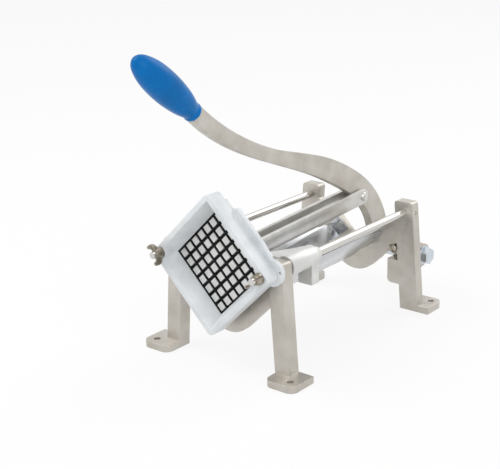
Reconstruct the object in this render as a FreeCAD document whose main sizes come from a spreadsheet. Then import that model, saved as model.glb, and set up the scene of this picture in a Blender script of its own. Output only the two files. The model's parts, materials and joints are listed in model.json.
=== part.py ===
import FreeCAD, Part
import math
import os
import re
import Sketcher
from FreeCAD import Placement, Rotation, Vector

# French fry cutter. X runs across, -Y is the front, Z is up and 0 is the bench.
# The origin is the centre of the four foot holes. Sizes are in millimetres.

doc = FreeCAD.newDocument("FryCutter")
sheet = doc.addObject("Spreadsheet::Sheet", "Sizes")

sizes = {
    # feet, rods and the cutting grid
    "foot_span_across": 201,
    "foot_span_along": 301,
    "foot_hole_size": 8,
    "foot_thickness": 8.5,
    "front_foot_margin": 12.5,
    "rear_foot_margin": 11,
    "foot_corner": 10,
    "leg_top_corner": 4,
    "rod_rise": 129,
    "rod_spacing": 145,
    "rod_size": 10,
    "stud_size": 8,
    "stud_reach": 14,
    "grid_drop": 2,
    "grid_setback": 3,
    "cell_pitch": 12.7,
    "cell_count": 7,
    "blade_thickness": 1,
    "blade_depth": 12,
    "blade_seat": 2,
    "slot_gap": 0.1,
    # white castings round the grid
    "cover_side": 120.5,
    "cover_depth": 20,
    "cover_rim": 6,
    "cover_corner": 6,
    "nut_boss_size": 15,
    "head_thickness": 6,
    "head_reach": 77.5,
    "throat_wall": 5.5,
    "throat_depth": 14,
    "throat_flat": 66,
    "ear_size": 31,
    "ear_hole_size": 3,
    "ear_hole_out": 12.5,
    "wing_reach": 94,
    "wing_start": 13.5,
    "wing_inner": 27,
    "wing_outer": 60,
    # front casting
    "front_leg_width": 20,
    "front_leg_depth": 18,
    "front_leg_shift": 1.2,
    "front_top_rise": 10,
    "front_leg_lean": 0.07,
    "front_web_depth": 9,
    "front_web_reach": 104,
    "front_web_round": 34,
    # rear casting
    "rear_setback": 26,
    "rear_leg_width": 26,
    "rear_leg_depth": 14,
    "rear_leg_lean": 0.085,
    "rear_top_rise": 14,
    "rear_web_depth": 10,
    "rear_web_reach": 102.5,
    "rear_web_inner": 46.5,
    "rear_web_round": 36,
    "rear_web_knee": 30,
    "rear_web_top": 126,
    "web_root": 2,
    "lug_inside": 50,
    "lug_top": 64,
    "lug_bottom": 32,
    "lug_round": 6,
    # trough of bent sheet
    "sheet_thickness": 1.5,
    "trough_reach": 74,
    "trough_half_width": 63,
    "trough_round": 24,
    "trough_length": 220,
    "tab_width": 22,
    "tab_inset": 13.4,
    "tab_slide": 5.7,
    "tab_edge": 6,
    "front_tab_gap": 2,
    "screw_size": 4,
    "screw_head_size": 8,
    "screw_head_height": 2.5,
    "screw_depth": 7,
    # pusher head
    "finger_side": 8.7,
    "finger_tip_gap": 0.5,
    "finger_length": 14.5,
    "plate_thickness": 13,
    "plate_reach": 65,
    "plate_flat": 9,
    "plate_side_flat": 61.5,
    "plate_bottom_round": 14,
    "arm_start": 26,
    "arm_end": 74,
    "arm_half_height": 9,
    "arm_inside": 46,
    "arm_wall": 11,
    "ear_boss_size": 25,
    "arm_root_inset": 2,
    "arm_shoulder_inset": 4,
    "arm_heel_inset": 2,
    "arm_heel_length": 8,
    "root_sunk": 1,
    "ear_block_top": 2,
    "ear_block_bottom": 30,
    "ear_block_length": 14,
    "ear_block_inside": 7.5,
    "ear_block_outside": 11.5,
    "bush_size": 14,
    "bush_end": 86,
    "bush_sunk": 6,
    "running_gap": 0.05,
    # links and lever
    "pusher_pin_back": 48,
    "pin_size": 8,
    "link_gap": 0.3,
    "link_thickness": 5,
    "link_height": 19.5,
    "lug_half_width": 6.7,
    "cap_size": 12,
    "cap_height": 3,
    "pivot_back": 176.5,
    "pivot_rise": 58,
    "crank_ahead": 51,
    "crank_above": 81.4,
    "lever_thickness": 12,
    "hub_size": 36,
    "neck_ahead": 360,
    "neck_above": 246.5,
    "neck_width": 18,
    "arch_ahead": 299,
    "arch_above": 204,
    "arch_width": 17.5,
    "waist_ahead": 218,
    "waist_above": 168,
    "waist_width": 17.5,
    "shoulder_ahead": 135,
    "shoulder_above": 138.3,
    "shoulder_width": 26,
    "knee_ahead": 83,
    "knee_above": 113,
    "knee_width": 29,
    "calf_ahead": 27.5,
    "calf_above": 72.6,
    "calf_width": 29,
    "ankle_ahead": 5,
    "ankle_above": 37,
    "ankle_width": 31,
    "grip_slope": 39.6,
    "grip_length": 110,
    "grip_size": 35.4,
    "grip_neck_size": 21,
    "grip_nose_size": 27,
    "grip_swell_share": 0.48,
    "grip_swell_place": 0.16,
    "grip_belly_place": 0.52,
    "grip_nose_place": 0.83,
    "tang_size": 10,
    "tang_length": 60,
    # pivot
    "bolt_size": 12.7,
    "hex_flats": 19,
    "bolt_head_height": 8,
    "bolt_end": 3,
    "nut_height": 11,
    "washer_size": 24,
    "washer_thickness": 2,
    "arm_inner": 60,
    "bracket_thickness": 12,
    "bracket_eye_size": 30,
    "bracket_foot_depth": 8,
    "bracket_foot_top": 90,
    "spacer_size": 19,
    "hub_bush_size": 17,
    "arm_screw_out": 58,
    "arm_screw_rise": 79,
    "arm_screw_size": 6,
    "arm_screw_head": 11,
    "arm_screw_head_height": 3,
    "bracket_screw_out": 55,
    "bracket_screw_size": 5,
    "bracket_screw_head": 9,
    "bracket_screw_head_height": 3,
    "bracket_screw_depth": 10,
    "set_screw_size": 5,
    "set_screw_sunk": 1,
    # wing nuts
    "wing_hub_size": 14,
    "wing_hub_top": 10,
    "wing_hub_height": 10,
    "wing_span": 27,
    "wing_height": 15,
    "wing_thickness": 2.5,
    "wing_root_sunk": 1,
    "wing_foot_rise": 1.5,
    "wing_bite": 0.5,
    "wing_waist_inset": 1,
    "wing_tip_inset": 2,
    "wing_tip_width": 3,
    "wing_neck_out": 1,
    "nut_face_gap": 0.25,
    "left_nut_turn": 60,
    "right_nut_turn": -45,
}
for row, (alias, size) in enumerate(sizes.items(), 1):
    sheet.set(f"A{row}", alias)
    sheet.set(f"B{row}", str(size))
    sheet.setAlias(f"B{row}", alias)
doc.recompute()
names = re.compile(r"\b(" + "|".join(sizes) + r")\b")


def bound(expression):
    return names.sub(r"Sizes.\1", str(expression))


def measure(expression):
    return float(sheet.evalExpression(bound(expression)))


def tie(item, targets):
    for target, expression in targets.items():
        item.setExpression(target, bound(expression))


# Places worked out from the sizes
rod_x = "(rod_spacing / 2)"
hole_x = "(foot_span_across / 2)"
front_hole_y = "(-foot_span_along / 2)"
rear_hole_y = "(foot_span_along / 2)"
grid_z = "(rod_rise - grid_drop)"
grid_y = f"({front_hole_y} + grid_setback)"
cover_y = f"({grid_y} - cover_depth)"
leg_y = f"({grid_y} + head_thickness)"
leg_back = f"({leg_y} + front_leg_depth)"
rear_y = f"({rear_hole_y} - rear_setback)"
rear_back = f"({rear_y} + rear_leg_depth)"
opening = "(cell_pitch * cell_count + blade_thickness)"
throat_side = f"({opening} + 2 * throat_wall)"
throat_reach = f"({throat_side} / sqrt(2))"
tip_y = f"({grid_y} + finger_tip_gap)"
plate_y = f"({tip_y} + finger_length)"
plate_back = f"({plate_y} + plate_thickness)"
pin_b_y = f"({grid_y} + pusher_pin_back)"
pin_a_y = "(pivot_back - crank_ahead)"
pin_a_z = "(pivot_rise + crank_above)"
link_inner = "(lug_half_width + link_gap)"
link_outer = f"({link_inner} + link_thickness)"
bracket_outer = "(arm_inner + bracket_thickness)"
screw_face = "(trough_reach / sqrt(2) - tab_inset)"
front_screw_face = "(trough_reach / sqrt(2) + tab_edge + front_tab_gap)"
rod_bore = "(rod_size + 2 * running_gap)"
lug_middle = "((lug_top + lug_bottom) / 2)"
across, upward = Vector(1, 0, 0), Vector(0, 0, 1)
to_y = Rotation(across, -90)
to_x = Rotation(Vector(0, 1, 0), 90)


# Sketches: a corner is (x, y), or (x, y, through x, through y) where an arc follows
def new_body(label):
    body = doc.addObject("PartDesign::Body", label)
    body.Label = label
    return body


def origin_plane(body, role):
    return next(plane for plane in body.Origin.OriginFeatures if plane.Role == role)


def place_point(sketch, shape, end, x, y):
    for kind, value, axis in (("DistanceX", x, -2), ("DistanceY", y, -1)):
        if value == "0":
            sketch.addConstraint(Sketcher.Constraint("PointOnObject", shape, end, axis))
            continue
        index = sketch.addConstraint(
            Sketcher.Constraint(kind, -1, 1, shape, end, measure(value)))
        tie(sketch, {f"Constraints[{index}]": value})


def add_circle(sketch, x, y, size):
    centre = Vector(measure(x), measure(y), 0)
    shape = sketch.addGeometry(Part.Circle(centre, upward, measure(size) / 2), False)
    place_point(sketch, shape, 3, x, y)
    index = sketch.addConstraint(Sketcher.Constraint("Diameter", shape, measure(size)))
    tie(sketch, {f"Constraints[{index}]": size})


def add_outline(sketch, corners):
    spots = [Vector(measure(corner[0]), measure(corner[1]), 0) for corner in corners]
    pieces = []
    for number, corner in enumerate(corners):
        start, end = spots[number], spots[(number + 1) % len(spots)]
        if len(corner) == 2:
            shape = sketch.addGeometry(Part.LineSegment(start, end), False)
            pieces.append((shape, 1, 2))
            continue
        middle = Vector(measure(corner[2]), measure(corner[3]), 0)
        clockwise = (middle - start).cross(end - middle).z < 0
        arc = Part.Arc(end, middle, start) if clockwise else Part.Arc(start, middle, end)
        shape = sketch.addGeometry(arc, False)
        pieces.append((shape, 2, 1) if clockwise else (shape, 1, 2))
        point = sketch.addGeometry(Part.Point(middle), True)
        sketch.addConstraint(Sketcher.Constraint("PointOnObject", point, 1, shape))
        place_point(sketch, point, 1, corner[2], corner[3])
    for number, (shape, start, end) in enumerate(pieces):
        following = pieces[(number + 1) % len(pieces)]
        sketch.addConstraint(
            Sketcher.Constraint("Coincident", shape, end, following[0], following[1]))
        place_point(sketch, shape, start, *corners[number][:2])


def draw(body, name, plane, level="0", outlines=(), circles=(), centre=("0", "0"), turn=0):
    sketch = body.newObject("Sketcher::SketchObject", name)
    sketch.AttachmentSupport = (origin_plane(body, plane), [""])
    sketch.MapMode = "FlatFace"
    sketch.AttachmentOffset = Placement(Vector(), Rotation(upward, turn))
    lift = f"-({level})" if plane == "XZ_Plane" else level
    tie(sketch, {"AttachmentOffset.Base.x": centre[0],
                 "AttachmentOffset.Base.y": centre[1],
                 "AttachmentOffset.Base.z": lift})
    for corners in outlines:
        add_outline(sketch, corners)
    for circle in circles:
        add_circle(sketch, *circle)
    return sketch


# A pad on the XZ plane grows to -Y, and with backward=True to +Y
def grow(body, kind, name, sketch, length, backward=False):
    feature = body.newObject(f"PartDesign::{kind}", name)
    feature.Profile = sketch
    feature.Reversed = backward
    tie(feature, {"Length": length})
    doc.recompute()
    return feature


def pad(body, name, sketch, length, backward=False):
    return grow(body, "Pad", name, sketch, length, backward)


def pocket(body, name, sketch, length, backward=False):
    return grow(body, "Pocket", name, sketch, length, backward)


def soften(body, name, radius, wanted):
    doc.recompute()
    base = body.Tip
    found = [f"Edge{number}" for number, edge in enumerate(base.Shape.Edges, 1) if wanted(edge)]
    if not found:
        raise RuntimeError(f"no edges for {name}")
    fillet = body.newObject("PartDesign::Fillet", name)
    fillet.Base = (base, found)
    tie(fillet, {"Radius": radius})
    doc.recompute()
    return fillet


def mirror(body, name, features):
    doc.recompute()
    mirrored = body.newObject("PartDesign::Mirrored", name)
    mirrored.Originals = features
    mirrored.MirrorPlane = (origin_plane(body, "YZ_Plane"), [""])
    body.Tip = mirrored
    doc.recompute()
    return mirrored


def along(edge, direction):
    if not isinstance(edge.Curve, Part.Line):
        return False
    return abs(abs(edge.Curve.Direction.dot(direction)) - 1) < 1e-6


def near(value, expression):
    return abs(value - measure(expression)) < 1e-3


def rectangle(x0, x1, y0, y1):
    return [(x0, y0), (x1, y0), (x1, y1), (x0, y1)]


def square(side):
    return rectangle(f"-{side}/2", f"{side}/2", f"-{side}/2", f"{side}/2")


def leg_middle(shift, lean, z):
    return f"({rod_x} + {shift} + {lean} * (rod_rise - ({z})))"


def leg_outline(shift, lean, width, level):
    half = f"{width} / 2"
    foot, top = leg_middle(shift, lean, "0"), leg_middle(shift, lean, level)
    return [(f"{foot} - {half}", "0"), (f"{foot} + {half}", "0"),
            (f"{top} + {half}", level), (f"{top} - {half}", level)]


# The web's upper edge runs from the middle out to the legs through the upper corners
def web_outline(shift, lean, reach, inner, upper):
    down = f"(({reach} + grid_drop - {rod_x} - {shift}) / (1 + {lean}))"
    x, z = f"({rod_x} + {shift} + {lean} * {down})", f"(rod_rise - {down})"
    left = [(f"-{corner}", level) for corner, level in reversed(upper)]
    return [(x, z), ("0", f"{grid_z} - {reach}"), (f"-{x}", z), *left,
            ("0", f"{grid_z} - {inner}"), *upper]


def tab_hole(face, sign):
    x = f"{sign} * ({face} - tab_slide) / sqrt(2)"
    return (x, f"{grid_z} - ({face} + tab_slide) / sqrt(2)")


# Front casting: two splayed legs with feet, and the V web that holds the head
def front_frame():
    body = new_body("front_frame")
    lean = "front_leg_lean"
    shift = "front_leg_shift"
    leg_top = "rod_rise + front_top_rise"
    end = f"({rod_x} + {shift} - front_leg_width / 2 + web_root)"
    web = draw(body, "FrontWeb", "XZ_Plane", leg_back,
               [web_outline(shift, lean, "front_web_reach", throat_reach,
                            [(end, f"{grid_z} - {throat_reach} + {end}")])])
    pad(body, "FrontWebPad", web, "front_web_depth")
    apex = f"{grid_z} - front_web_reach"
    soften(body, "FrontWebRound", "front_web_round",
           lambda edge: along(edge, Vector(0, 1, 0)) and near(edge.CenterOfMass.z, apex))
    leg = draw(body, "FrontLeg", "XZ_Plane", leg_back,
               [leg_outline(shift, lean, "front_leg_width", leg_top)])
    leg_pad = pad(body, "FrontLegPad", leg, "front_leg_depth")
    inside = f"{leg_middle(shift, lean, '0')} - front_leg_width / 2"
    foot = draw(body, "FrontFoot", "XY_Plane", "0",
                [rectangle(inside, f"{hole_x} + front_foot_margin",
                           f"{front_hole_y} - front_foot_margin", leg_back)])
    foot_pad = pad(body, "FrontFootPad", foot, "foot_thickness")
    mirror(body, "FrontMirror", [leg_pad, foot_pad])
    toe = f"{front_hole_y} - front_foot_margin"
    soften(body, "FrontFootRound", "foot_corner",
           lambda edge: along(edge, upward) and near(edge.CenterOfMass.y, toe))
    soften(body, "FrontTopRound", "leg_top_corner",
           lambda edge: along(edge, Vector(0, 1, 0)) and near(edge.CenterOfMass.z, leg_top))
    seat = draw(body, "HeadSeat", "XZ_Plane", leg_y, [throat_outline()])
    pocket(body, "HeadSeatCut", seat, "front_leg_depth")
    holes = draw(body, "FrontRodHoles", "XZ_Plane", leg_y,
                 circles=[(f"{sign} * {rod_x}", "rod_rise", "rod_size") for sign in (-1, 1)])
    pocket(body, "FrontRodBores", holes, "front_leg_depth")
    screws = draw(body, "FrontScrewHoles", "XZ_Plane", f"{leg_back} - screw_depth",
                  circles=[(*tab_hole(front_screw_face, sign), "screw_size") for sign in (-1, 1)])
    pocket(body, "FrontScrewBores", screws, "screw_depth")
    foot_holes = draw(body, "FrontFootHoles", "XY_Plane", "foot_thickness",
                      circles=[(f"{sign} * {hole_x}", front_hole_y, "foot_hole_size")
                               for sign in (-1, 1)])
    pocket(body, "FrontFootBores", foot_holes, "foot_thickness")
    return body


# The throat is a square on its corner with its side corners cut off by the rods
def throat_outline():
    side = f"({throat_reach} - throat_flat)"
    return [("throat_flat", f"{grid_z} - {side}"), ("throat_flat", f"{grid_z} + {side}"),
            ("0", f"{grid_z} + {throat_reach}"),
            ("-throat_flat", f"{grid_z} + {side}"), ("-throat_flat", f"{grid_z} - {side}"),
            ("0", f"{grid_z} - {throat_reach}")]


def rear_frame():
    body = new_body("rear_frame")
    lean = "rear_leg_lean"
    leg_top = "rod_rise + rear_top_rise"
    upper = [("rear_web_knee", f"{grid_z} - rear_web_inner + rear_web_knee"),
             (f"({rod_x} - rear_leg_width / 2 + web_root)", "rear_web_top")]
    web = draw(body, "RearWeb", "XZ_Plane", rear_y,
               [web_outline("0", lean, "rear_web_reach", "rear_web_inner", upper)])
    pad(body, "RearWebPad", web, "rear_web_depth", True)
    apex = f"{grid_z} - rear_web_reach"
    soften(body, "RearWebRound", "rear_web_round",
           lambda edge: along(edge, Vector(0, 1, 0)) and near(edge.CenterOfMass.z, apex))
    leg = draw(body, "RearLeg", "XZ_Plane", rear_y,
               [leg_outline("0", lean, "rear_leg_width", leg_top)])
    leg_pad = pad(body, "RearLegPad", leg, "rear_leg_depth", True)
    inside = f"{leg_middle('0', lean, '0')} - rear_leg_width / 2"
    foot = draw(body, "RearFoot", "XY_Plane", "0",
                [rectangle(inside, f"{hole_x} + rear_foot_margin", rear_y,
                           f"{rear_hole_y} + rear_foot_margin")])
    foot_pad = pad(body, "RearFootPad", foot, "foot_thickness")
    lug = draw(body, "RearLug", "XZ_Plane", rear_y,
               [rectangle("lug_inside", leg_middle("0", lean, "lug_top"),
                          "lug_bottom", "lug_top")])
    lug_pad = pad(body, "RearLugPad", lug, "rear_leg_depth", True)
    mirror(body, "RearMirror", [leg_pad, foot_pad, lug_pad])
    heel = f"{rear_hole_y} + rear_foot_margin"
    soften(body, "RearFootRound", "foot_corner",
           lambda edge: along(edge, upward) and near(edge.CenterOfMass.y, heel))
    soften(body, "RearTopRound", "leg_top_corner",
           lambda edge: along(edge, Vector(0, 1, 0)) and near(edge.CenterOfMass.z, leg_top))
    soften(body, "RearLugRound", "lug_round",
           lambda edge: along(edge, Vector(0, 1, 0)) and near(edge.CenterOfMass.z, "lug_bottom")
           and near(abs(edge.CenterOfMass.x), "lug_inside"))
    both = (-1, 1)
    holes = draw(body, "RearRodHoles", "XZ_Plane", rear_y,
                 circles=[(f"{sign} * {rod_x}", "rod_rise", "rod_size") for sign in both]
                 + [(f"{sign} * arm_screw_out", "arm_screw_rise", "arm_screw_size")
                    for sign in both])
    pocket(body, "RearRodBores", holes, "rear_leg_depth")
    low = draw(body, "BracketScrewHoles", "XZ_Plane", f"{rear_back} - bracket_screw_depth",
               circles=[(f"{sign} * bracket_screw_out", lug_middle, "bracket_screw_size")
                        for sign in both])
    pocket(body, "BracketScrewBores", low, "bracket_screw_depth")
    screws = draw(body, "RearScrewHoles", "XZ_Plane", rear_y,
                  circles=[(*tab_hole(screw_face, sign), "screw_size") for sign in both])
    pocket(body, "RearScrewBores", screws, "screw_depth")
    foot_holes = draw(body, "RearFootHoles", "XY_Plane", "foot_thickness",
                      circles=[(f"{sign} * {hole_x}", rear_hole_y, "foot_hole_size")
                               for sign in both])
    pocket(body, "RearFootBores", foot_holes, "foot_thickness")
    grub = draw(body, "SetScrewHoles", "YZ_Plane", rod_x,
                circles=[(f"({rear_y} + {rear_back}) / 2", "rod_rise", "set_screw_size")])
    grub_cut = pocket(body, "SetScrewBore", grub, "rear_leg_width", True)
    mirror(body, "SetScrewMirror", [grub_cut])
    return body


# Simple turned and boxed pieces
def cylinder(name, size, length, at, turn=None):
    rod = doc.addObject("Part::Cylinder", name)
    rod.Placement = Placement(Vector(), turn or Rotation())
    tie(rod, {"Radius": f"{size} / 2", "Height": length, "Placement.Base.x": at[0],
              "Placement.Base.y": at[1], "Placement.Base.z": at[2]})
    return rod


def prism(name, flats, length, at):
    nut = doc.addObject("Part::Prism", name)
    nut.Polygon = 6
    nut.Placement = Placement(Vector(), to_x)
    tie(nut, {"Circumradius": f"{flats} / sqrt(3)", "Height": length, "Placement.Base.x": at[0],
              "Placement.Base.y": at[1], "Placement.Base.z": at[2]})
    return nut


def block(name, length, width, height, at):
    box = doc.addObject("Part::Box", name)
    tie(box, {"Length": length, "Width": width, "Height": height, "Placement.Base.x": at[0],
              "Placement.Base.y": at[1], "Placement.Base.z": at[2]})
    return box


def fuse(label, items):
    joined = doc.addObject("Part::MultiFuse", label)
    joined.Shapes = items
    joined.Label = label
    return joined


def cut(label, base, tool):
    result = doc.addObject("Part::Cut", label)
    result.Base = base
    result.Tool = tool
    result.Label = label
    return result


def group(label, items):
    together = doc.addObject("Part::Compound", label)
    together.Links = items
    together.Label = label
    return together


def guide_rod(side, sign):
    x = f"{sign} * {rod_x}"
    rod = cylinder(f"Rod{side}", "rod_size", f"{rear_back} - {leg_y}",
                   (x, leg_y, "rod_rise"), to_y)
    stud = cylinder(f"Stud{side}", "stud_size", f"{leg_y} - {cover_y} + stud_reach",
                    (x, f"{cover_y} - stud_reach", "rod_rise"), to_y)
    return fuse(f"guide_rod_{side}", [rod, stud])


def rod_set_screws():
    length = "(rear_leg_width / 2 - rod_size / 2 - set_screw_sunk)"
    middle = f"({rear_y} + {rear_back}) / 2"
    return group("rod_set_screws", [
        cylinder("SetScrewRight", "set_screw_size", length,
                 (f"{rod_x} + rod_size / 2", middle, "rod_rise"), to_x),
        cylinder("SetScrewLeft", "set_screw_size", length,
                 (f"-{rod_x} - rod_size / 2 - {length}", middle, "rod_rise"), to_x)])


# White casting behind the blades: plate, side wings, rod ears and the throat
def head_casting():
    body = new_body("head_casting")
    ends = [("head_reach", grid_z), ("0", f"{grid_z} + head_reach"),
            ("-head_reach", grid_z), ("0", f"{grid_z} - head_reach")]
    pad(body, "HeadPlate", draw(body, "HeadOutline", "XZ_Plane", leg_y, [ends]), "head_thickness")
    for name, sign in (("Right", 1), ("Left", -1)):
        wing = [(f"{sign} * wing_start", f"{grid_z} + head_reach - wing_start"),
                (f"{sign} * wing_inner", f"{grid_z} + wing_reach - wing_inner"),
                (f"{sign} * wing_outer", f"{grid_z} + wing_reach - wing_outer"),
                (f"{sign} * {rod_x}", "rod_rise + ear_size / 2"),
                (f"{sign} * {rod_x}", grid_z), ("0", grid_z)]
        pad(body, f"HeadWing{name}",
            draw(body, f"WingOutline{name}", "XZ_Plane", leg_y, [wing]), "head_thickness")
    ears = [(f"{sign} * {rod_x}", "rod_rise", "ear_size") for sign in (-1, 1)]
    pad(body, "HeadEars", draw(body, "EarOutline", "XZ_Plane", leg_y, circles=ears),
        "head_thickness")
    ring = draw(body, "ThroatOutline", "XZ_Plane", f"{grid_y} + throat_depth", [throat_outline()])
    pad(body, "Throat", ring, "throat_depth")
    bore = draw(body, "ThroatOpening", "XZ_Plane", grid_y, [square(opening)],
                centre=("0", grid_z), turn=45)
    pocket(body, "ThroatBore", bore, "throat_depth")
    blades = [blade_slot(number, lying) for lying in (False, True)
              for number in range(int(sizes["cell_count"]) + 1)]
    half = len(blades) // 2
    for name, some in (("Rising", blades[:half]), ("Falling", blades[half:])):
        part = draw(body, f"BladeSlots{name}", "XZ_Plane", grid_y, some,
                    centre=("0", grid_z), turn=45)
        pocket(body, f"BladeSeats{name}", part, "blade_depth")
    holes = [(f"{sign} * {rod_x}", "rod_rise", "stud_size") for sign in (-1, 1)]
    holes += [(f"{sign} * ({rod_x} + ear_hole_out)", "rod_rise + ear_hole_size", "ear_hole_size")
              for sign in (-1, 1)]
    pocket(body, "EarBores", draw(body, "EarHoles", "XZ_Plane", grid_y, circles=holes),
           "head_thickness")
    return body


def blade_slot(number, lying):
    middle = f"({number} - cell_count / 2) * cell_pitch"
    low, high = f"{middle} - blade_thickness / 2", f"{middle} + blade_thickness / 2"
    end = f"({opening} / 2 + blade_seat)"
    if lying:
        return rectangle(f"-{end}", end, low, high)
    return rectangle(low, high, f"-{end}", end)


# White cover frame in front: its bevelled recess leads to the grid
def blade_frame():
    body = new_body("blade_frame")
    middle = ("0", grid_z)
    pad(body, "CoverBlock", draw(body, "CoverOutline", "XZ_Plane", grid_y,
                                 [square("cover_side")], centre=middle, turn=45), "cover_depth")
    soften(body, "CoverRound", "cover_corner", lambda edge: along(edge, Vector(0, 1, 0)))
    small = draw(body, "RecessRear", "XZ_Plane", grid_y, [square(opening)],
                 centre=middle, turn=45)
    large = draw(body, "RecessFront", "XZ_Plane", cover_y,
                 [square("(cover_side - 2 * cover_rim)")], centre=middle, turn=45)
    loft = body.newObject("PartDesign::SubtractiveLoft", "Recess")
    loft.Profile = small
    loft.Sections = [large]
    doc.recompute()
    bosses = [(f"{sign} * {rod_x}", "rod_rise", "nut_boss_size") for sign in (-1, 1)]
    pad(body, "NutBosses", draw(body, "BossOutline", "XZ_Plane", grid_y, circles=bosses),
        "cover_depth")
    studs = [(f"{sign} * {rod_x}", "rod_rise", "stud_size") for sign in (-1, 1)]
    pocket(body, "StudBores", draw(body, "StudHoles", "XZ_Plane", cover_y, circles=studs),
           "cover_depth")
    again = draw(body, "GridOpening", "XZ_Plane", cover_y, [square(opening)],
                 centre=middle, turn=45)
    pocket(body, "GridBore", again, "cover_depth")
    return body


# One set of parallel strips, half slotted where the other set crosses
def blade_set(label, turn, front):
    span = f"({opening} + 2 * blade_seat)"
    strips, slots = [], []
    for number in range(int(sizes["cell_count"]) + 1):
        middle = f"({number} - cell_count / 2) * cell_pitch"
        strips.append(block(f"{label}Strip{number}", span, "blade_depth", "blade_thickness",
                            (f"-{span} / 2", "0", f"{middle} - blade_thickness / 2")))
        wide = "(blade_thickness + 2 * slot_gap)"
        start = "blade_depth / 2" if front else "0"
        slots.append(block(f"{label}Slot{number}", wide, "blade_depth / 2", span,
                           (f"{middle} - {wide} / 2", start, f"-{span} / 2")))
    result = cut(label, group(f"{label}Strips", strips), group(f"{label}Slots", slots))
    result.Placement = Placement(Vector(), Rotation(Vector(0, 1, 0), turn))
    tie(result, {"Placement.Base.y": grid_y, "Placement.Base.z": grid_z})
    return result


def trough():
    body = new_body("trough")
    reach, wall = "trough_reach", "sheet_thickness"
    lip = f"{grid_z} - ({reach} - trough_half_width)"
    inner_x = f"(trough_half_width - {wall} / sqrt(2))"
    inner_z = f"({lip} + {wall} / sqrt(2))"
    outline = [("trough_half_width", lip), ("0", f"{grid_z} - {reach}"),
               ("-trough_half_width", lip), (f"-{inner_x}", inner_z),
               ("0", f"{grid_z} - {reach} + {wall} * sqrt(2)"), (inner_x, inner_z)]
    front = f"({leg_back} + {wall})"
    pad(body, "Vee", draw(body, "VeeOutline", "XZ_Plane", front, [outline]), "trough_length", True)
    upright = Vector(0, 1, 0)
    soften(body, "VeeRound", "trough_round",
           lambda edge: along(edge, upright) and near(edge.CenterOfMass.z, f"{grid_z} - {reach}"))
    inner_apex = f"{grid_z} - {reach} + {wall} * sqrt(2)"
    soften(body, "VeeInnerRound", f"trough_round - {wall}",
           lambda edge: along(edge, upright) and near(edge.CenterOfMass.z, inner_apex))
    face = "(trough_reach / sqrt(2))"
    low, high = "-tab_slide - tab_width / 2", "-tab_slide + tab_width / 2"
    middle = ("0", grid_z)
    back = f"({front} + trough_length)"
    tongue = draw(body, "Tongue", "XZ_Plane", back, [rectangle(f"{face} - {wall}", face, low, high)],
                  centre=middle, turn=-45)
    tongue_pad = pad(body, "TonguePad", tongue, f"{rear_y} - {back}", True)
    tab = draw(body, "RearTab", "XZ_Plane", rear_y,
               [rectangle(f"{face} - tab_inset - tab_edge", face, low, high)],
               centre=middle, turn=-45)
    tab_pad = pad(body, "RearTabPad", tab, wall)
    fore = draw(body, "FrontTab", "XZ_Plane", leg_back,
                [rectangle(f"{face} - {wall}", f"{front_screw_face} + tab_edge", low, high)],
                centre=middle, turn=-45)
    fore_pad = pad(body, "FrontTabPad", fore, wall, True)
    mirror(body, "TabMirror", [tongue_pad, tab_pad, fore_pad])
    for name, level, spot in (("Rear", f"{rear_y} - {wall}", screw_face),
                              ("Front", leg_back, front_screw_face)):
        holes = draw(body, f"{name}TabHoles", "XZ_Plane", level,
                     circles=[(*tab_hole(spot, sign), "screw_size") for sign in (-1, 1)])
        pocket(body, f"{name}TabBores", holes, wall)
    return body


def screw(name, x, z, face, ahead, shank, depth, head, height):
    start = f"({face} - {height})" if ahead else face
    inward = face if ahead else f"({face} - ({depth}))"
    return fuse(name, [cylinder(f"{name}Head", head, height, (x, start, z), to_y),
                       cylinder(f"{name}Shank", shank, depth, (x, inward, z), to_y)])


def trough_screws():
    items = []
    for side, sign in (("Right", 1), ("Left", -1)):
        for name, face, ahead, spot in (
                ("Rear", f"({rear_y} - sheet_thickness)", True, screw_face),
                ("Front", f"({leg_back} + sheet_thickness)", False, front_screw_face)):
            x, z = tab_hole(spot, sign)
            items.append(screw(f"TabScrew{name}{side}", x, z, face, ahead, "screw_size",
                               "(screw_depth + sheet_thickness)", "screw_head_size",
                               "screw_head_height"))
    return group("trough_screws", items)


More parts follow.
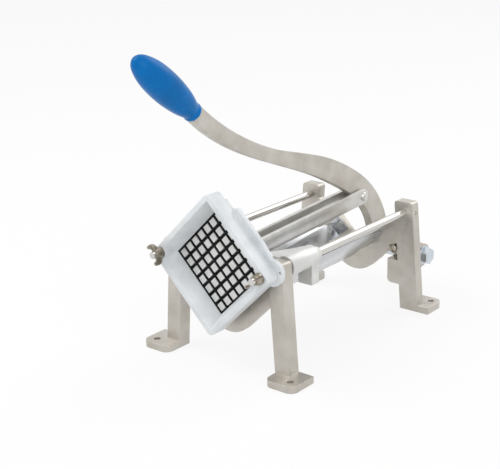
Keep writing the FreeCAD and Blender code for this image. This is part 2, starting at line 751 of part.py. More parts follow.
# Pusher: plate, fingers, middle lug and the arms that ride on the rods
def pusher_head():
    body = new_body("pusher_head")
    corner = "(plate_reach - plate_side_flat)"
    top = "(plate_reach - plate_flat)"
    outline = [("plate_side_flat", f"{grid_z} - {corner}"), ("plate_side_flat", f"{grid_z} + {corner}"),
               ("plate_flat", f"{grid_z} + {top}"), ("-plate_flat", f"{grid_z} + {top}"),
               ("-plate_side_flat", f"{grid_z} + {corner}"),
               ("-plate_side_flat", f"{grid_z} - {corner}"), ("0", f"{grid_z} - plate_reach")]
    pad(body, "PusherPlate", draw(body, "PlateOutline", "XZ_Plane", plate_y, [outline]),
        "plate_thickness", True)
    bottom = f"{grid_z} - plate_reach"
    soften(body, "PlateBottomRound", "plate_bottom_round",
           lambda edge: along(edge, Vector(0, 1, 0)) and near(edge.CenterOfMass.z, bottom))
    first = "((1 - cell_count) / 2 * cell_pitch)"
    edge = "finger_side / 2"
    finger = draw(body, "FingerOutline", "XZ_Plane", plate_y,
                  [rectangle(f"{first} - {edge}", f"{first} + {edge}",
                             f"{first} - {edge}", f"{first} + {edge}")],
                  centre=("0", grid_z), turn=45)
    finger_pad = pad(body, "Finger", finger, "finger_length")
    rows = body.newObject("PartDesign::MultiTransform", "Fingers")
    rows.Originals = [finger_pad]
    patterns = []
    for name, direction in (("Across", "H_Axis"), ("Up", "V_Axis")):
        pattern = body.newObject("PartDesign::LinearPattern", f"Fingers{name}")
        pattern.Direction = (finger, [direction])
        tie(pattern, {"Length": "(cell_count - 1) * cell_pitch", "Occurrences": "cell_count"})
        patterns.append(pattern)
    rows.Transformations = patterns
    body.Tip = rows
    doc.recompute()
    root = f"({plate_back} - root_sunk)"
    start, end = f"({grid_y} + arm_start)", f"({grid_y} + arm_end)"
    for name, sign in (("Right", ""), ("Left", "-")):
        plan = [(f"{sign}(arm_inside - arm_wall)", root),
                (f"{sign}(plate_side_flat - arm_root_inset)", root),
                (f"{sign}({rod_x} - arm_shoulder_inset)", start),
                (f"{sign}{rod_x}", f"{start} + arm_wall"),
                (f"{sign}{rod_x}", end), (f"{sign}({rod_x} - arm_wall)", end),
                (f"{sign}({rod_x} - arm_wall - arm_heel_inset)", f"{end} - arm_heel_length"),
                (f"{sign}arm_inside", f"{plate_back} + arm_wall")]
        pad(body, f"Arm{name}", draw(body, f"ArmPlan{name}", "XY_Plane",
                                     "rod_rise - arm_half_height", [plan]), "2 * arm_half_height")
        hanging = rectangle(f"{sign}({rod_x} - ear_block_inside)",
                            f"{sign}({rod_x} + ear_block_outside)",
                            "rod_rise - ear_block_bottom", "rod_rise - ear_block_top")
        pad(body, f"EarBlock{name}", draw(body, f"EarBlockOutline{name}", "XZ_Plane", end,
                                          [hanging]), "ear_block_length")
    bosses = [(f"{sign} * {rod_x}", "rod_rise", "ear_boss_size") for sign in (-1, 1)]
    pad(body, "EarBosses", draw(body, "EarBossOutline", "XZ_Plane", end, circles=bosses),
        f"({end} - {start})")
    half = "link_height / 2"
    lug = [(root, f"rod_rise - {half}"), (pin_b_y, f"rod_rise - {half}",
           f"{pin_b_y} + {half}", "rod_rise"), (pin_b_y, f"rod_rise + {half}"),
           (root, f"rod_rise + {half}")]
    pad(body, "MiddleLug", draw(body, "LugOutline", "YZ_Plane", "-lug_half_width", [lug]),
        "2 * lug_half_width")
    pin = draw(body, "PinHole", "YZ_Plane", "lug_half_width",
               circles=[(pin_b_y, "rod_rise", "pin_size")])
    pocket(body, "PinBore", pin, "2 * lug_half_width")
    bores = [(f"{sign} * {rod_x}", "rod_rise", "bush_size") for sign in (-1, 1)]
    pocket(body, "BushBores", draw(body, "BushHoles", "XZ_Plane", start, circles=bores),
           f"({end} - {start})")
    return body


def tube(label, size, bore, length, at, turn):
    outside = cylinder(f"{label}Outside", size, length, at, turn)
    inside = cylinder(f"{label}Inside", bore, length, at, turn)
    return cut(label, outside, inside)


def pusher_bushes():
    start = f"({grid_y} + arm_start + bush_sunk)"
    tubes = [tube(f"Bush{number}", "bush_size", rod_bore, f"{grid_y} + bush_end - {start}",
                  (f"{sign} * {rod_x}", start, "rod_rise"), to_y)
             for number, sign in enumerate((-1, 1))]
    return group("pusher_bushes", tubes)


# A link runs from the pusher's pin, with round ends, to the lever's pin
def link(side, sign):
    rise = f"({pin_a_z} - rod_rise)"
    run = f"({pin_a_y} - {pin_b_y})"
    length = f"sqrt({run}^2 + {rise}^2)"
    body = new_body(f"link_{side}")
    half = "link_height / 2"
    outline = [("0", f"-{half}"), (length, f"-{half}", f"{length} + {half}", "0"),
               (length, half), ("0", half, f"-{half}", "0")]
    level = link_inner if sign > 0 else f"-{link_outer}"
    sketch = draw(body, f"LinkOutline{side}", "YZ_Plane", level, [outline],
                  circles=[("0", "0", "pin_size"), (length, "0", "pin_size")])
    pad(body, f"LinkBar{side}", sketch, "link_thickness")
    slope = math.degrees(math.atan2(measure(rise), measure(run)))
    body.Placement = Placement(Vector(), Rotation(across, slope))
    tie(body, {"Placement.Base.y": pin_b_y, "Placement.Base.z": "rod_rise"})
    return body


def lever_spots():
    words = ("neck", "arch", "waist", "shoulder", "knee", "calf", "ankle")
    return [(measure(f"pivot_back - {word}_ahead"), measure(f"pivot_rise + {word}_above"),
             measure(f"{word}_width / 2")) for word in words]


# The lever's edges are smooth curves, half its width off each side of its spine
def lever():
    spots = lever_spots()
    spine = Part.BSplineCurve()
    ends = [Vector(0, y, z) for y, z, half in spots]
    ends.append(Vector(0, measure("pivot_back"), measure("pivot_rise")))
    spine.interpolate(ends)
    sides = ([], [])
    spots.append((ends[-1].y, ends[-1].z, measure("hub_size / 2")))
    for (y, z, half), point in zip(spots, ends):
        run = spine.tangent(spine.parameter(point))[0]
        normal = Vector(0, -run.z, run.y)
        sides[0].append(point + normal * half)
        sides[1].append(point - normal * half)
    curves = []
    for points in sides:
        curve = Part.BSplineCurve()
        curve.interpolate(points)
        curves.append(curve.toShape())
    closing = [Part.makeLine(sides[0][0], sides[1][0]), Part.makeLine(sides[0][-1], sides[1][-1])]
    wire = Part.Wire(Part.__sortEdges__([curves[0], closing[1], curves[1], closing[0]]))
    thick = measure("lever_thickness")
    bar = Part.Face(wire).extrude(Vector(thick, 0, 0))
    bar.translate(Vector(-thick / 2, 0, 0))
    boss = 2 * measure("lug_half_width")
    pivot = ends[-1]
    pin = Vector(0, measure(pin_a_y), measure(pin_a_z))
    hub = Part.makeCylinder(measure("hub_size / 2"), boss, pivot - across * boss / 2, across)
    eye = Part.makeCylinder(measure("link_height / 2"), boss, pin - across * boss / 2, across)
    slope = math.radians(measure("grip_slope"))
    out = Vector(0, -math.cos(slope), math.sin(slope))
    back = measure("tang_size")
    tang = Part.makeCylinder(measure("tang_size / 2"), measure("tang_length") + back,
                             ends[0] - out * back, out)
    solid = bar.fuse([hub, eye, tang])
    bush = measure("hub_bush_size / 2")
    solid = solid.cut(Part.makeCylinder(bush, boss, pivot - across * boss / 2, across))
    bore = measure("pin_size / 2 + running_gap")
    solid = solid.cut(Part.makeCylinder(bore, boss, pin - across * boss / 2, across))
    feature = doc.addObject("Part::Feature", "lever")
    feature.Shape = solid.removeSplitter()
    return feature


# The grip is turned: a long belly between the neck and a round nose
def hand_grip():
    length, neck = measure("grip_length"), measure("grip_neck_size / 2")
    belly, nose = measure("grip_size / 2"), measure("grip_nose_size / 2")
    curve = Part.BSplineCurve()
    curve.interpolate(
        Points=[Vector(0, neck, 0),
                Vector(length * measure("grip_swell_place"),
                       (neck + belly) * measure("grip_swell_share"), 0),
                Vector(length * measure("grip_belly_place"), belly, 0),
                Vector(length * measure("grip_nose_place"), nose, 0), Vector(length, 0, 0)],
        Tangents=[Vector(1, 0.12, 0), Vector(1, 0.16, 0), Vector(1, 0, 0),
                  Vector(1, -0.5, 0), Vector(0, -1, 0)],
        TangentFlags=[True, False, True, False, True])
    edges = [curve.toShape(), Part.makeLine(Vector(length, 0, 0), Vector(0, 0, 0)),
             Part.makeLine(Vector(0, 0, 0), Vector(0, neck, 0))]
    solid = Part.Face(Part.Wire(edges)).revolve(Vector(), across, 360)
    bore = Part.makeCylinder(measure("tang_size / 2"), measure("tang_length"), Vector(), across)
    solid = solid.cut(bore)
    feature = doc.addObject("Part::Feature", "hand_grip")
    feature.Shape = solid
    y, z, half = lever_spots()[0]
    turn = Rotation(across, -measure("grip_slope")).multiply(Rotation(upward, -90))
    feature.Placement = Placement(Vector(0, y, z), turn)
    return feature


def pivot_arm(side, sign):
    body = new_body(f"pivot_arm_{side}")
    level = "arm_inner" if sign > 0 else f"-{bracket_outer}"
    eye = "bracket_eye_size / 2"
    foot = f"({rear_back} + bracket_foot_depth)"
    outline = [(rear_back, "lug_bottom"), (foot, "lug_bottom"), ("pivot_back", f"pivot_rise - {eye}",
               f"pivot_back + {eye}", "pivot_rise"), ("pivot_back", f"pivot_rise + {eye}"),
               (foot, "bracket_foot_top"), (rear_back, "bracket_foot_top")]
    pad(body, f"ArmPlate{side}", draw(body, f"ArmSide{side}", "YZ_Plane", level, [outline]),
        "bracket_thickness")
    near_side, far_side = f"{sign} * lug_inside", f"{sign} * {bracket_outer}"
    flange = rectangle(near_side, far_side, "lug_bottom", "bracket_foot_top")
    pad(body, f"ArmFoot{side}", draw(body, f"ArmFootOutline{side}", "XZ_Plane", rear_back,
                                     [flange]), "bracket_foot_depth", True)
    pin = draw(body, f"ArmEye{side}", "YZ_Plane", f"{level} + bracket_thickness",
               circles=[("pivot_back", "pivot_rise", "bolt_size")])
    pocket(body, f"ArmEyeBore{side}", pin, "bracket_thickness")
    holes = draw(body, f"ArmScrewHoles{side}", "XZ_Plane", rear_back, circles=[
        (f"{sign} * arm_screw_out", "arm_screw_rise", "arm_screw_size"),
        (f"{sign} * bracket_screw_out", lug_middle, "bracket_screw_size")])
    pocket(body, f"ArmScrewBores{side}", holes, "bracket_foot_depth")
    return body


# Each bracket is held by a screw from the front and one from behind
def arm_screws():
    through = "(rear_leg_depth + bracket_foot_depth)"
    return group("arm_screws", [
        screw(f"ArmScrew{side}", f"{sign} * arm_screw_out", "arm_screw_rise", rear_y, True,
              "arm_screw_size", through, "arm_screw_head", "arm_screw_head_height")
        for side, sign in (("Right", 1), ("Left", -1))])


def bracket_screws():
    face, depth = f"({rear_back} + bracket_foot_depth)", "(bracket_foot_depth + bracket_screw_depth)"
    return group("bracket_screws", [
        screw(f"BracketScrew{side}", f"{sign} * bracket_screw_out", lug_middle, face, False,
              "bracket_screw_size", depth, "bracket_screw_head", "bracket_screw_head_height")
        for side, sign in (("Right", 1), ("Left", -1))])


def pivot_hardware():
    axis = ("pivot_back", "pivot_rise")
    outer = f"({bracket_outer} + washer_thickness)"
    end = f"({outer} + nut_height + bolt_end)"
    shank = cylinder("BoltShank", "bolt_size", f"{outer} + {end}", (f"-{end}", *axis), to_x)
    head = prism("BoltHead", "hex_flats", "bolt_head_height", (outer, *axis))
    nut = cut("pivot_nut", prism("NutHex", "hex_flats", "nut_height",
                                 (f"-{outer} - nut_height", *axis)),
              cylinder("NutBore", "bolt_size", "nut_height", (f"-{outer} - nut_height", *axis), to_x))
    washers = [tube(f"Washer{number}", "washer_size", "bolt_size", "washer_thickness",
                    (place, *axis), to_x)
               for number, place in enumerate((bracket_outer, f"-{outer}"))]
    length = "(arm_inner - lug_half_width - link_gap)"
    spacers = [tube(f"Spacer{number}", "spacer_size", "bolt_size", length, (place, *axis), to_x)
               for number, place in enumerate(("lug_half_width + link_gap", "-arm_inner"))]
    bush = tube("lever_bush", "hub_bush_size", "(bolt_size + 2 * running_gap)",
                "2 * lug_half_width", ("-lug_half_width", *axis), to_x)
    return [fuse("pivot_bolt", [shank, head]), nut, group("pivot_washers", washers),
            group("pivot_spacers", spacers), bush]


# Rivet heads outside the links, with short spigots in the links' pusher eyes
def link_pins():
    lever_pin = cylinder("link_pin", "pin_size", f"2 * {link_outer}",
                         (f"-{link_outer}", pin_a_y, pin_a_z), to_x)
    caps, spigots = [], []
    for side, sign in (("Right", 1), ("Left", -1)):
        cap_x = link_outer if sign > 0 else f"-{link_outer} - cap_height"
        spigot_x = link_inner if sign > 0 else f"-{link_outer}"
        for name, y, z in (("Lever", pin_a_y, pin_a_z), ("Pusher", pin_b_y, "rod_rise")):
            caps.append(cylinder(f"Cap{name}{side}", "cap_size", "cap_height", (cap_x, y, z), to_x))
        spigot = cylinder(f"Spigot{side}", "pin_size", "link_thickness",
                          (spigot_x, pin_b_y, "rod_rise"), to_x)
        spigots.append(fuse(f"CapSpigot{side}", [caps.pop(), spigot]))
    pusher_pin = cylinder("pusher_pin", "pin_size", "2 * lug_half_width",
                          ("-lug_half_width", pin_b_y, "rod_rise"), to_x)
    return [lever_pin, group("link_pin_caps", caps), group("link_rivets", spigots), pusher_pin]


# Wing nut: coned hub and two flared wings, turned as they stand in use
def wing_nut(side, sign):
    body = new_body(f"wing_nut_{side}")
    hub = [("0", "0"), ("wing_hub_size / 2", "0"), ("wing_hub_top / 2", "-wing_hub_height"),
           ("0", "-wing_hub_height")]
    sketch = draw(body, f"HubProfile{side}", "XY_Plane", "0", [hub])
    turned = body.newObject("PartDesign::Revolution", f"Hub{side}")
    turned.Profile = sketch
    turned.ReferenceAxis = (sketch, ["V_Axis"])
    turned.Angle = 360
    doc.recompute()
    for name, way in (("A", ""), ("B", "-")):
        tip = "wing_span / 2 - wing_tip_inset"
        wing = [(f"{way}wing_root_sunk", "-wing_foot_rise"),
                (f"{way}(wing_hub_size / 2 - wing_bite)", "-wing_foot_rise",
                 f"{way}(wing_span / 2 - wing_waist_inset)", "-wing_height / 2"),
                (f"{way}({tip})", "-wing_height"),
                (f"{way}({tip} - wing_tip_width)", "-wing_height",
                 f"{way}(wing_hub_top / 2 + wing_neck_out)", "-wing_hub_height"),
                (f"{way}wing_root_sunk", "-wing_hub_height + wing_foot_rise")]
        pad(body, f"Wing{name}{side}", draw(body, f"WingOutline{name}{side}", "XY_Plane",
                                            "-wing_thickness / 2", [wing]), "wing_thickness")
    bore = draw(body, f"NutHole{side}", "XZ_Plane", "-wing_height",
                circles=[("0", "0", "stud_size + 2 * running_gap")])
    pocket(body, f"NutBoreOf{side}", bore, "wing_height")
    turn = Rotation(Vector(0, 1, 0), measure(f"{side}_nut_turn"))
    body.Placement = Placement(Vector(), turn)
    tie(body, {"Placement.Base.x": f"{sign} * {rod_x}", "Placement.Base.z": "rod_rise",
               "Placement.Base.y": f"{cover_y} - nut_face_gap"})
    return body


parts = [
    front_frame(), rear_frame(), guide_rod("left", -1), guide_rod("right", 1), rod_set_screws(),
    head_casting(), blade_frame(), blade_set("blades_rising", -45, True),
    blade_set("blades_falling", 45, False), trough(), trough_screws(), pusher_head(),
    pusher_bushes(), link("left", -1), link("right", 1), lever(), hand_grip(),
    pivot_arm("left", -1), pivot_arm("right", 1), arm_screws(), bracket_screws(),
    *pivot_hardware(), *link_pins(),
    wing_nut("left", -1), wing_nut("right", 1),
]
doc.recompute()
for item in doc.Objects:
    if "Invalid" in item.State or "Error" in item.State:
        raise RuntimeError(f"{item.Label} did not build")
for piece in parts:
    if piece.Shape.isNull() or not piece.Shape.isValid():
        raise RuntimeError(f"{piece.Label} has no sound shape")
os.makedirs("parts", exist_ok=True)
for piece in parts:
    piece.Shape.exportStep(f"parts/{piece.Label}.step")
    print(piece.Label, len(piece.Shape.Solids), round(piece.Shape.Volume))
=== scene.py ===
import json
import math

import bmesh
import bpy
from mathutils import Matrix, Vector


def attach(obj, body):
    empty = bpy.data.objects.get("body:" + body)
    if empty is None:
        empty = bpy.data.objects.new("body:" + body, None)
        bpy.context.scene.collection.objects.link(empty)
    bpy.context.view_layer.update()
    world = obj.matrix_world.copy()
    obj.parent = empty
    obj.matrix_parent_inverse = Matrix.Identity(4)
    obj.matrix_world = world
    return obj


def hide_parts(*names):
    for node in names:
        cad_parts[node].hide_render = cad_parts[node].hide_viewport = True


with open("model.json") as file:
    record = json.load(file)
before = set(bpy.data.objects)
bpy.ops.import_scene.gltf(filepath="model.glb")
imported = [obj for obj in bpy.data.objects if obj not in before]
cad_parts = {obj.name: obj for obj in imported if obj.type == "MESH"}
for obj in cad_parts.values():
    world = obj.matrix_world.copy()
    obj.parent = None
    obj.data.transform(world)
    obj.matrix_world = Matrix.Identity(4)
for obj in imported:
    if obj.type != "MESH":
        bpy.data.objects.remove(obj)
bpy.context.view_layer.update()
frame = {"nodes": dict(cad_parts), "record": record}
mm = 0.001  # the frame is in metres, and the sizes below in millimetres


# Materials: how the noise patterns are shared out between dark and light
patches = {"roughness": 0.55, "darkEnd": 0.35, "lightEnd": 0.68,
           "wearDetail": 3, "wearLow": 0.3, "wearHigh": 0.7,
           "grainDetail": 2, "grainStrength": 0.6}


def linear(hexColour):
    values = [int(hexColour[i:i + 2], 16) / 255 for i in (1, 3, 5)]
    flat = [v / 12.92 if v <= 0.04045 else ((v + 0.055) / 1.055) ** 2.4 for v in values]
    return (*flat, 1.0)


def addNode(tree, kind, settings=None, links=None):
    node = tree.nodes.new(kind)
    for key, value in (settings or {}).items():
        if key in node.inputs:
            node.inputs[key].default_value = value
        else:
            setattr(node, key, value)
    for key, source in (links or {}).items():
        tree.links.new(source, node.inputs[key])
    return node


def startMaterial(name, colour, metallic, roughness, extra=None):
    material = bpy.data.materials.new(name)
    material.use_nodes = True
    tree = material.node_tree
    shader = tree.nodes["Principled BSDF"]
    shader.inputs["Base Color"].default_value = linear(colour)
    shader.inputs["Metallic"].default_value = metallic
    shader.inputs["Roughness"].default_value = roughness
    for key, value in (extra or {}).items():
        shader.inputs[key].default_value = value
    place = addNode(tree, "ShaderNodeTexCoord").outputs["Object"]
    return material, tree, shader, place


def mottle(tree, shader, place, dark, light, patch, detail=4):
    # soft colour patches, as handling, casting skin and plating leave them
    noise = addNode(tree, "ShaderNodeTexNoise",
                    {"Scale": 1 / (patch * mm), "Detail": detail,
                     "Roughness": patches["roughness"]},
                    {"Vector": place})
    ramp = addNode(tree, "ShaderNodeValToRGB", links={"Fac": noise.outputs["Fac"]})
    ramp.color_ramp.elements[0].position = patches["darkEnd"]
    ramp.color_ramp.elements[0].color = linear(dark)
    ramp.color_ramp.elements[1].position = patches["lightEnd"]
    ramp.color_ramp.elements[1].color = linear(light)
    tree.links.new(ramp.outputs["Color"], shader.inputs["Base Color"])


def roughen(tree, shader, place, low, high, patch):
    # wear: shinier and duller patches
    noise = addNode(tree, "ShaderNodeTexNoise",
                    {"Scale": 1 / (patch * mm), "Detail": patches["wearDetail"]},
                    {"Vector": place})
    spread = addNode(tree, "ShaderNodeMapRange",
                     {"From Min": patches["wearLow"], "From Max": patches["wearHigh"],
                      "To Min": low, "To Max": high}, {"Value": noise.outputs["Fac"]})
    tree.links.new(spread.outputs["Result"], shader.inputs["Roughness"])


def grainBump(tree, shader, place, grain, height, stretch=(1, 1, 1)):
    # grain and height are in mm, and stretch below 1 draws the grain out along that axis
    mapping = addNode(tree, "ShaderNodeMapping", {"Scale": stretch}, {"Vector": place})
    noise = addNode(tree, "ShaderNodeTexNoise",
                    {"Scale": 1 / (grain * mm), "Detail": patches["grainDetail"]},
                    {"Vector": mapping.outputs["Vector"]})
    bump = addNode(tree, "ShaderNodeBump",
                   {"Strength": patches["grainStrength"], "Distance": height * mm},
                   {"Height": noise.outputs["Fac"]})
    tree.links.new(bump.outputs["Normal"], shader.inputs["Normal"])


def nickelCasting():
    # nickel-plated sand casting: warm grey metal with a faint pebbled skin
    made, tree, shader, place = startMaterial("nickelCasting", "#C0BBB3", 0.8, 0.42)
    mottle(tree, shader, place, "#B8B2A9", "#C9C5BE", 34)
    roughen(tree, shader, place, 0.34, 0.5, 14)
    grainBump(tree, shader, place, 1.3, 0.06)
    return made


def blastedAluminium():
    # cast aluminium, bead blasted: pale, cool and even, with soft sheen
    made, tree, shader, place = startMaterial("blastedAluminium", "#D9DCDE", 0.15, 0.5)
    mottle(tree, shader, place, "#D0D4D7", "#E1E4E6", 26)
    roughen(tree, shader, place, 0.44, 0.58, 10)
    grainBump(tree, shader, place, 0.9, 0.05)
    return made


def groundSteel():
    # centreless ground steel rod: bright, with fine rings round it
    made, tree, shader, place = startMaterial("groundSteel", "#CFCDC9", 1.0, 0.2)
    grainBump(tree, shader, place, 0.8, 0.012, (0.3, 3, 0.3))
    roughen(tree, shader, place, 0.14, 0.24, 9)
    return made


def polishedSheet():
    # stainless sheet, polished along its length: near mirror with long soft lines
    made, tree, shader, place = startMaterial("polishedSheet", "#B9BBBE", 1.0, 0.22)
    grainBump(tree, shader, place, 1.0, 0.015, (1, 0.04, 1))
    roughen(tree, shader, place, 0.16, 0.28, 22)
    return made


def bladePaintedShade():
    # hardened steel strip, coloured near black: the blade's own dark edge, plus painted shade for
    # the shadowed channels between the blades
    made, tree, shader, place = startMaterial("bladePaintedShade", "#202326", 0.85, 0.42)
    mottle(tree, shader, place, "#15171A", "#2B2F33", 12)
    return made


def mouldedVinyl():
    # moulded vinyl grip: clear blue, smooth, with a soft shine and a slight orange peel
    made, tree, shader, place = startMaterial(
        "mouldedVinyl", "#0069B0", 0.0, 0.3, {"Specular IOR Level": 0.12})
    mottle(tree, shader, place, "#0063A6", "#006FBA", 35)
    roughen(tree, shader, place, 0.24, 0.36, 16)
    grainBump(tree, shader, place, 2.2, 0.03)
    return made


def pusherAluminium():
    # cast aluminium, tumbled: light grey, wiped clean by the potatoes
    made, tree, shader, place = startMaterial("pusherAluminium", "#D6D6D4", 0.5, 0.42)
    mottle(tree, shader, place, "#CDCDCB", "#DEDEDC", 16)
    roughen(tree, shader, place, 0.32, 0.5, 8)
    grainBump(tree, shader, place, 1.0, 0.05)
    return made


def rolledBar():
    # rolled steel bar, nickel plated: satin, with drawn lines along its length
    made, tree, shader, place = startMaterial("rolledBar", "#CFCDC9", 0.8, 0.38)
    mottle(tree, shader, place, "#C6C3BE", "#D6D5D2", 20)
    grainBump(tree, shader, place, 0.7, 0.02, (1, 0.05, 1))
    return made


def zincPlate():
    # zinc-plated steel, clear passivated: pale and bright, with a faint blue cast
    made, tree, shader, place = startMaterial("zincPlate", "#CBD4DC", 0.9, 0.3)
    mottle(tree, shader, place, "#C2CCD5", "#D5DCE2", 18)
    roughen(tree, shader, place, 0.24, 0.38, 5)
    return made


def brassyNickel():
    # nickel over cast brass: worn warm on the wings
    made, tree, shader, place = startMaterial("brassyNickel", "#9A9182", 0.95, 0.3)
    mottle(tree, shader, place, "#857A68", "#B4AFA4", 5)
    grainBump(tree, shader, place, 0.9, 0.04)
    return made


def nylon():
    # turned nylon bush: off-white and waxy
    made, tree, shader, place = startMaterial("nylon", "#DAD9D3", 0.0, 0.4)
    mottle(tree, shader, place, "#D0CFC8", "#E2E1DC", 9)
    return made


def sinteredBronze():
    # oil-filled sintered bronze: dull brown gold
    made, tree, shader, place = startMaterial("sinteredBronze", "#9A7B4C", 0.9, 0.45)
    mottle(tree, shader, place, "#86693E", "#A98A58", 4)
    return made


finishes = {
    "plated_casting": nickelCasting(),
    "pale_casting": blastedAluminium(),
    "bright_rod": groundSteel(),
    "polished_sheet": polishedSheet(),
    "blade_steel": bladePaintedShade(),
    "blue_grip": mouldedVinyl(),
    "pusher_casting": pusherAluminium(),
    "link_bar": rolledBar(),
    "zinc_bolt": zincPlate(),
    "plated_nut": brassyNickel(),
    "nylon_bush": nylon(),
    "bronze_bush": sinteredBronze(),
}
slotOf = {part["node"]: part["material_slot"] for part in frame["record"]["subparts"]}
bodyOf = {}
for bodyName, nodeNames in frame["record"]["behaviour"]["bodies"].items():
    for nodeName in nodeNames:
        bodyOf[nodeName] = bodyName
print("materials ready")


def dressNode(node):
    shown = frame["nodes"][node]
    shown.data.materials.clear()
    shown.data.materials.append(finishes[slotOf[node]])


def addPiece(name, bm, node):
    mesh = bpy.data.meshes.new(name)
    bmesh.ops.recalc_face_normals(bm, faces=bm.faces)
    bm.to_mesh(mesh)
    bm.free()
    piece = bpy.data.objects.new(name, mesh)
    bpy.context.collection.objects.link(piece)
    mesh.materials.append(finishes[slotOf[node]])
    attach(piece, bodyOf[node])
    return piece


# Pieces shown by their CAD shape with softened edges: the radius of each in mm
edgeRounds = {
    "front_frame": 1.6,
    "rear_frame": 1.6,
    "head_casting": 1.2,
    "blade_frame": 1.4,
    "pusher_head": 0.8,
    "lever": 2.2,
    "pivot_arm_left": 1.4,
    "pivot_arm_right": 1.4,
    "link_left": 0.7,
    "link_right": 0.7,
    "wing_nut_left": 0.6,
    "wing_nut_right": 0.6,
    "trough": 0.3,
    "pivot_nut": 0.5,
    "pivot_washers": 0.3,
}


rounding = {"merge": 0.01, "flatWithin": 1, "cornerFrom": 35, "steps": 3}


def softEdges(node, radius):
    bm = bmesh.new()
    bm.from_mesh(frame["nodes"][node].data)
    bmesh.ops.remove_doubles(bm, verts=bm.verts, dist=rounding["merge"] * mm)
    bmesh.ops.dissolve_limit(bm, angle_limit=math.radians(rounding["flatWithin"]),
                             verts=bm.verts, edges=bm.edges)
    piece = addPiece(f"{node}_soft", bm, node)
    bevel = piece.modifiers.new("roundedEdges", "BEVEL")
    bevel.width = radius * mm
    bevel.segments = rounding["steps"]
    bevel.limit_method = "ANGLE"
    bevel.angle_limit = math.radians(rounding["cornerFrom"])
    bevel.harden_normals = True
    piece.data.shade_smooth()
    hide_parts(node)


for nodeName, edgeRadius in edgeRounds.items():
    softEdges(nodeName, edgeRadius)
print("edges rounded")

# Grip, turned: its profile is (distance from the neck, radius) along its axis, in mm
grip = {
    "profile": [(0, 8.8), (0.4, 10.2), (1.8, 11.2), (4.2, 11.3), (6.2, 10.4), (9, 10.9),
                (17, 13.4), (30, 15.8), (45, 17.3), (58, 17.6), (72, 17.2), (84, 15.9),
                (94, 13.3), (101, 11), (106, 8), (109.3, 4.4), (110.4, 0)],
    "neck": (0, -183.5, 304.5),
    "slope": 39.6,
    "steps": 64,
}


def makeGrip():
    bm = bmesh.new()
    points = [bm.verts.new((0, 0, 0))]
    points += [bm.verts.new((0, reach * mm, radius * mm)) for reach, radius in grip["profile"]]
    for first, second in zip(points, points[1:]):
        bm.edges.new((first, second))
    bmesh.ops.spin(bm, geom=bm.verts[:] + bm.edges[:], cent=(0, 0, 0), axis=(0, 1, 0),
                   angle=math.tau, steps=grip["steps"], use_merge=True)
    bmesh.ops.remove_doubles(bm, verts=bm.verts, dist=rounding["merge"] * mm)
    turn = Matrix.Rotation(math.radians(180 - grip["slope"]), 4, "X")
    bmesh.ops.transform(bm, matrix=turn, verts=bm.verts)
    bmesh.ops.translate(bm, vec=Vector(grip["neck"]) * mm, verts=bm.verts)
    piece = addPiece("grip_sleeve", bm, "hand_grip")
    piece.data.shade_smooth()
    smooth = piece.modifiers.new("smooth", "SUBSURF")
    smooth.levels = 1
    smooth.render_levels = 1
    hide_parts("hand_grip")


makeGrip()
print("grip turned")

# Rivets with domed heads, sizes in mm: "at" is (y, z) and "length" that of the spigot
turnSteps = 32
rivet = {"size": 12, "height": 3, "linkOuter": 12, "shank": 8, "arcSteps": 7, "smoothTo": 40,
         "lever": {"at": (125.5, 139.4), "length": 0},
         "pusher": {"at": (-99.5, 129), "length": 5}}


def domeProfile(length):
    spots = [(0, 0)]
    if length:
        shank = rivet["shank"] / 2
        spots = [(0, -length), (shank, -length), (shank, 0)]
    for step in range(rivet["arcSteps"] + 1):
        turn = math.radians(90 * step / rivet["arcSteps"])
        spots.append((rivet["size"] / 2 * math.cos(turn), rivet["height"] * math.sin(turn)))
    return spots


def turnedHead(profile):
    # profile is (radius, height) from the centre below to the centre on top
    bm = bmesh.new()
    points = [bm.verts.new((radius * mm, 0, height * mm)) for radius, height in profile]
    edges = [bm.edges.new(pair) for pair in zip(points, points[1:])]
    bmesh.ops.spin(bm, geom=points + edges, cent=(0, 0, 0), axis=(0, 0, 1),
                   angle=math.tau, steps=turnSteps, use_merge=True)
    bmesh.ops.remove_doubles(bm, verts=bm.verts, dist=rounding["merge"] * mm)
    return bm


def joinHead(bm, head, middle, facing, tilt=0):
    # tilt turns the head about its own axis before it faces its way
    turn = Vector((0, 0, 1)).rotation_difference(Vector(facing)).to_matrix().to_4x4()
    spin = Matrix.Rotation(math.radians(tilt), 4, "Z")
    bmesh.ops.transform(head, matrix=Matrix.Translation(Vector(middle) * mm) @ turn @ spin,
                        verts=head.verts)
    held = bpy.data.meshes.new("head")
    head.to_mesh(held)
    head.free()
    bm.from_mesh(held)
    bpy.data.meshes.remove(held)


def makeRivets(name, node, spec):
    bm = bmesh.new()
    for way in (-1, 1):
        head = turnedHead(domeProfile(spec["length"]))
        joinHead(bm, head, (way * rivet["linkOuter"], *spec["at"]), (way, 0, 0))
    piece = addPiece(name, bm, node)
    piece.data.shade_smooth()
    piece.data.set_sharp_from_angle(angle=math.radians(rivet["smoothTo"]))
    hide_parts(node)


makeRivets("lever_rivets", "link_pin_caps", rivet["lever"])
makeRivets("pusher_rivets", "link_rivets", rivet["pusher"])

# Screws, sizes in mm: "at" is the middle under each head and "turns" its slot's angles
panHead = {"slotWide": 1.1, "slotDeep": 1.0, "edgeIn": 0.5, "topIn": 1.4,
           "edgeShare": 0.55, "shoulderShare": 0.85, "slotFrom": 0.7, "flatShare": 0.2}
screws = {
    "arm_screws": {"head": 11, "height": 3, "shank": 6, "length": 22, "at": (58, 124.5, 79),
                   "facing": (0, -1, 0), "turns": (-25, 25)},
    "bracket_screws": {"head": 9, "height": 3, "shank": 5, "length": 18, "at": (55, 146.5, 48),
                       "facing": (0, 1, 0), "turns": (15, 60)},
}


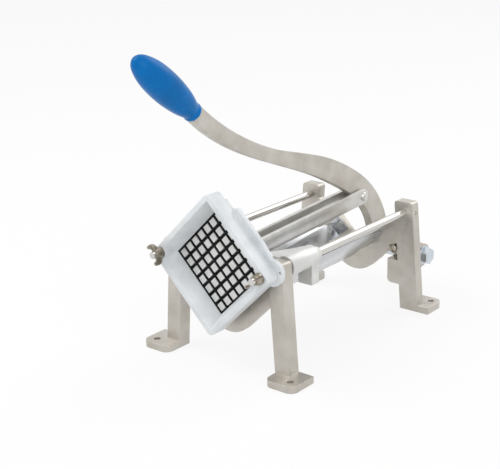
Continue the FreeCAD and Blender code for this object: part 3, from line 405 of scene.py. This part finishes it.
def slottedHead(spec):
    # a pan head on its shank: a low dome with a slot cut across it
    rim, height, shank, length = spec["head"] / 2, spec["height"], spec["shank"] / 2, spec["length"]
    head = turnedHead([(0, -length), (shank, -length), (shank, 0), (rim, 0),
                       (rim, height * panHead["edgeShare"]),
                       (rim - panHead["edgeIn"], height * panHead["shoulderShare"]),
                       (rim - panHead["topIn"], height),
                       (spec["head"] * panHead["flatShare"], height), (0, height)])
    half = panHead["slotWide"] / 2
    for way in (-1, 1):
        bmesh.ops.bisect_plane(head, geom=head.verts[:] + head.edges[:] + head.faces[:],
                               plane_co=(way * half * mm, 0, 0), plane_no=(1, 0, 0))
    slotFaces = [face for face in head.faces
                 if all(abs(vert.co.x) < half * mm + 1e-6 for vert in face.verts)
                 and face.calc_center_median().z > height * panHead["slotFrom"] * mm]
    sunk = bmesh.ops.extrude_face_region(head, geom=slotFaces)
    moved = [item for item in sunk["geom"] if isinstance(item, bmesh.types.BMVert)]
    bmesh.ops.translate(head, vec=(0, 0, -panHead["slotDeep"] * mm), verts=moved)
    bmesh.ops.delete(head, geom=slotFaces, context="FACES")
    return head


def makeScrews(node):
    bm = bmesh.new()
    spec = screws[node]
    x, y, z = spec["at"]
    for way, tilt in zip((-1, 1), spec["turns"]):
        joinHead(bm, slottedHead(spec), (way * x, y, z), spec["facing"], tilt)
    piece = addPiece(f"{node}_heads", bm, node)
    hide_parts(node)


makeScrews("arm_screws")
makeScrews("bracket_screws")
print("fasteners made")

for nodeName, nodeObject in frame["nodes"].items():
    dressNode(nodeName)

# Stage: a pale floor that reads white to the camera, and soft lights as
# (x, y, z in metres, power in watts, size in metres)
stage = {"floorSize": 14, "floorColour": "#E9E9E8", "whiteShare": 0.86,
         "key": (-1.1, -0.9, 1.9, 24, 1.4), "fill": (1.8, -0.9, 1.1, 14, 1.8),
         "back": (0.4, 1.8, 1.6, 14, 1.6), "worldStrength": 0.62, "floorRoughness": 0.9,
         "aim": (0, 0, 0.12)}


def showRay(tree):
    # 1 for rays that reach the camera straight, by reflection or through glass
    path = addNode(tree, "ShaderNodeLightPath")
    first = addNode(tree, "ShaderNodeMath", {"operation": "MAXIMUM"})
    tree.links.new(path.outputs["Is Camera Ray"], first.inputs[0])
    tree.links.new(path.outputs["Is Glossy Ray"], first.inputs[1])
    second = addNode(tree, "ShaderNodeMath", {"operation": "MAXIMUM"})
    tree.links.new(first.outputs[0], second.inputs[0])
    tree.links.new(path.outputs["Is Transmission Ray"], second.inputs[1])
    return second.outputs[0]


def makeFloor():
    bpy.ops.mesh.primitive_plane_add(size=stage["floorSize"])
    floor = bpy.context.object
    floor.name = "floor"
    paper = bpy.data.materials.new("paperFloor")
    paper.use_nodes = True
    tree = paper.node_tree
    shader = tree.nodes["Principled BSDF"]
    shader.inputs["Base Color"].default_value = linear(stage["floorColour"])
    shader.inputs["Roughness"].default_value = stage["floorRoughness"]
    glow = addNode(tree, "ShaderNodeEmission", {"Color": (1, 1, 1, 1), "Strength": 1.0})
    share = addNode(tree, "ShaderNodeMath", {"operation": "MULTIPLY"})
    tree.links.new(showRay(tree), share.inputs[0])
    share.inputs[1].default_value = stage["whiteShare"]
    mix = addNode(tree, "ShaderNodeMixShader")
    tree.links.new(share.outputs[0], mix.inputs[0])
    tree.links.new(shader.outputs[0], mix.inputs[1])
    tree.links.new(glow.outputs[0], mix.inputs[2])
    tree.links.new(mix.outputs[0], tree.nodes["Material Output"].inputs["Surface"])
    floor.data.materials.append(paper)


def makeWorld():
    world = bpy.data.worlds.new("studio")
    world.use_nodes = True
    tree = world.node_tree
    behind = tree.nodes["Background"]
    behind.inputs["Color"].default_value = (1, 1, 1, 1)
    behind.inputs["Strength"].default_value = stage["worldStrength"]
    shown = addNode(tree, "ShaderNodeBackground", {"Color": (1, 1, 1, 1), "Strength": 1.0})
    mix = addNode(tree, "ShaderNodeMixShader")
    tree.links.new(showRay(tree), mix.inputs[0])
    tree.links.new(behind.outputs[0], mix.inputs[1])
    tree.links.new(shown.outputs[0], mix.inputs[2])
    tree.links.new(mix.outputs[0], tree.nodes["World Output"].inputs["Surface"])
    bpy.context.scene.world = world


def makeLight(name):
    x, y, z, power, size = stage[name]
    lamp = bpy.data.lights.new(name, "AREA")
    lamp.energy = power
    lamp.size = size
    holder = bpy.data.objects.new(name, lamp)
    holder.location = (x, y, z)
    aim = Vector(stage["aim"]) - Vector((x, y, z))
    holder.rotation_euler = aim.to_track_quat("-Z", "Y").to_euler()
    bpy.context.collection.objects.link(holder)


makeFloor()
makeWorld()
for lightName in ("key", "fill", "back"):
    makeLight(lightName)
print("stage lit")

# Camera: fitted to the photograph, places in mm
view = {"place": (821.6, -1099.3, 578.7), "target": (-37.2, -47.5, 125.2),
        "lens": 85.37, "sensor": 36, "roll": -1.04}


def makeCamera():
    data = bpy.data.cameras.new("photoCamera")
    data.lens = view["lens"]
    data.sensor_width = view["sensor"]
    data.sensor_fit = "HORIZONTAL"
    camera = bpy.data.objects.new("photoCamera", data)
    place, target = Vector(view["place"]) * mm, Vector(view["target"]) * mm
    aim = (target - place).to_track_quat("-Z", "Y").to_matrix().to_4x4()
    roll = Matrix.Rotation(math.radians(view["roll"]), 4, "Z")
    camera.matrix_world = Matrix.Translation(place) @ aim @ roll
    bpy.context.collection.objects.link(camera)
    bpy.context.scene.camera = camera


makeCamera()
bpy.context.scene.view_settings.view_transform = "Standard"
print("ready")
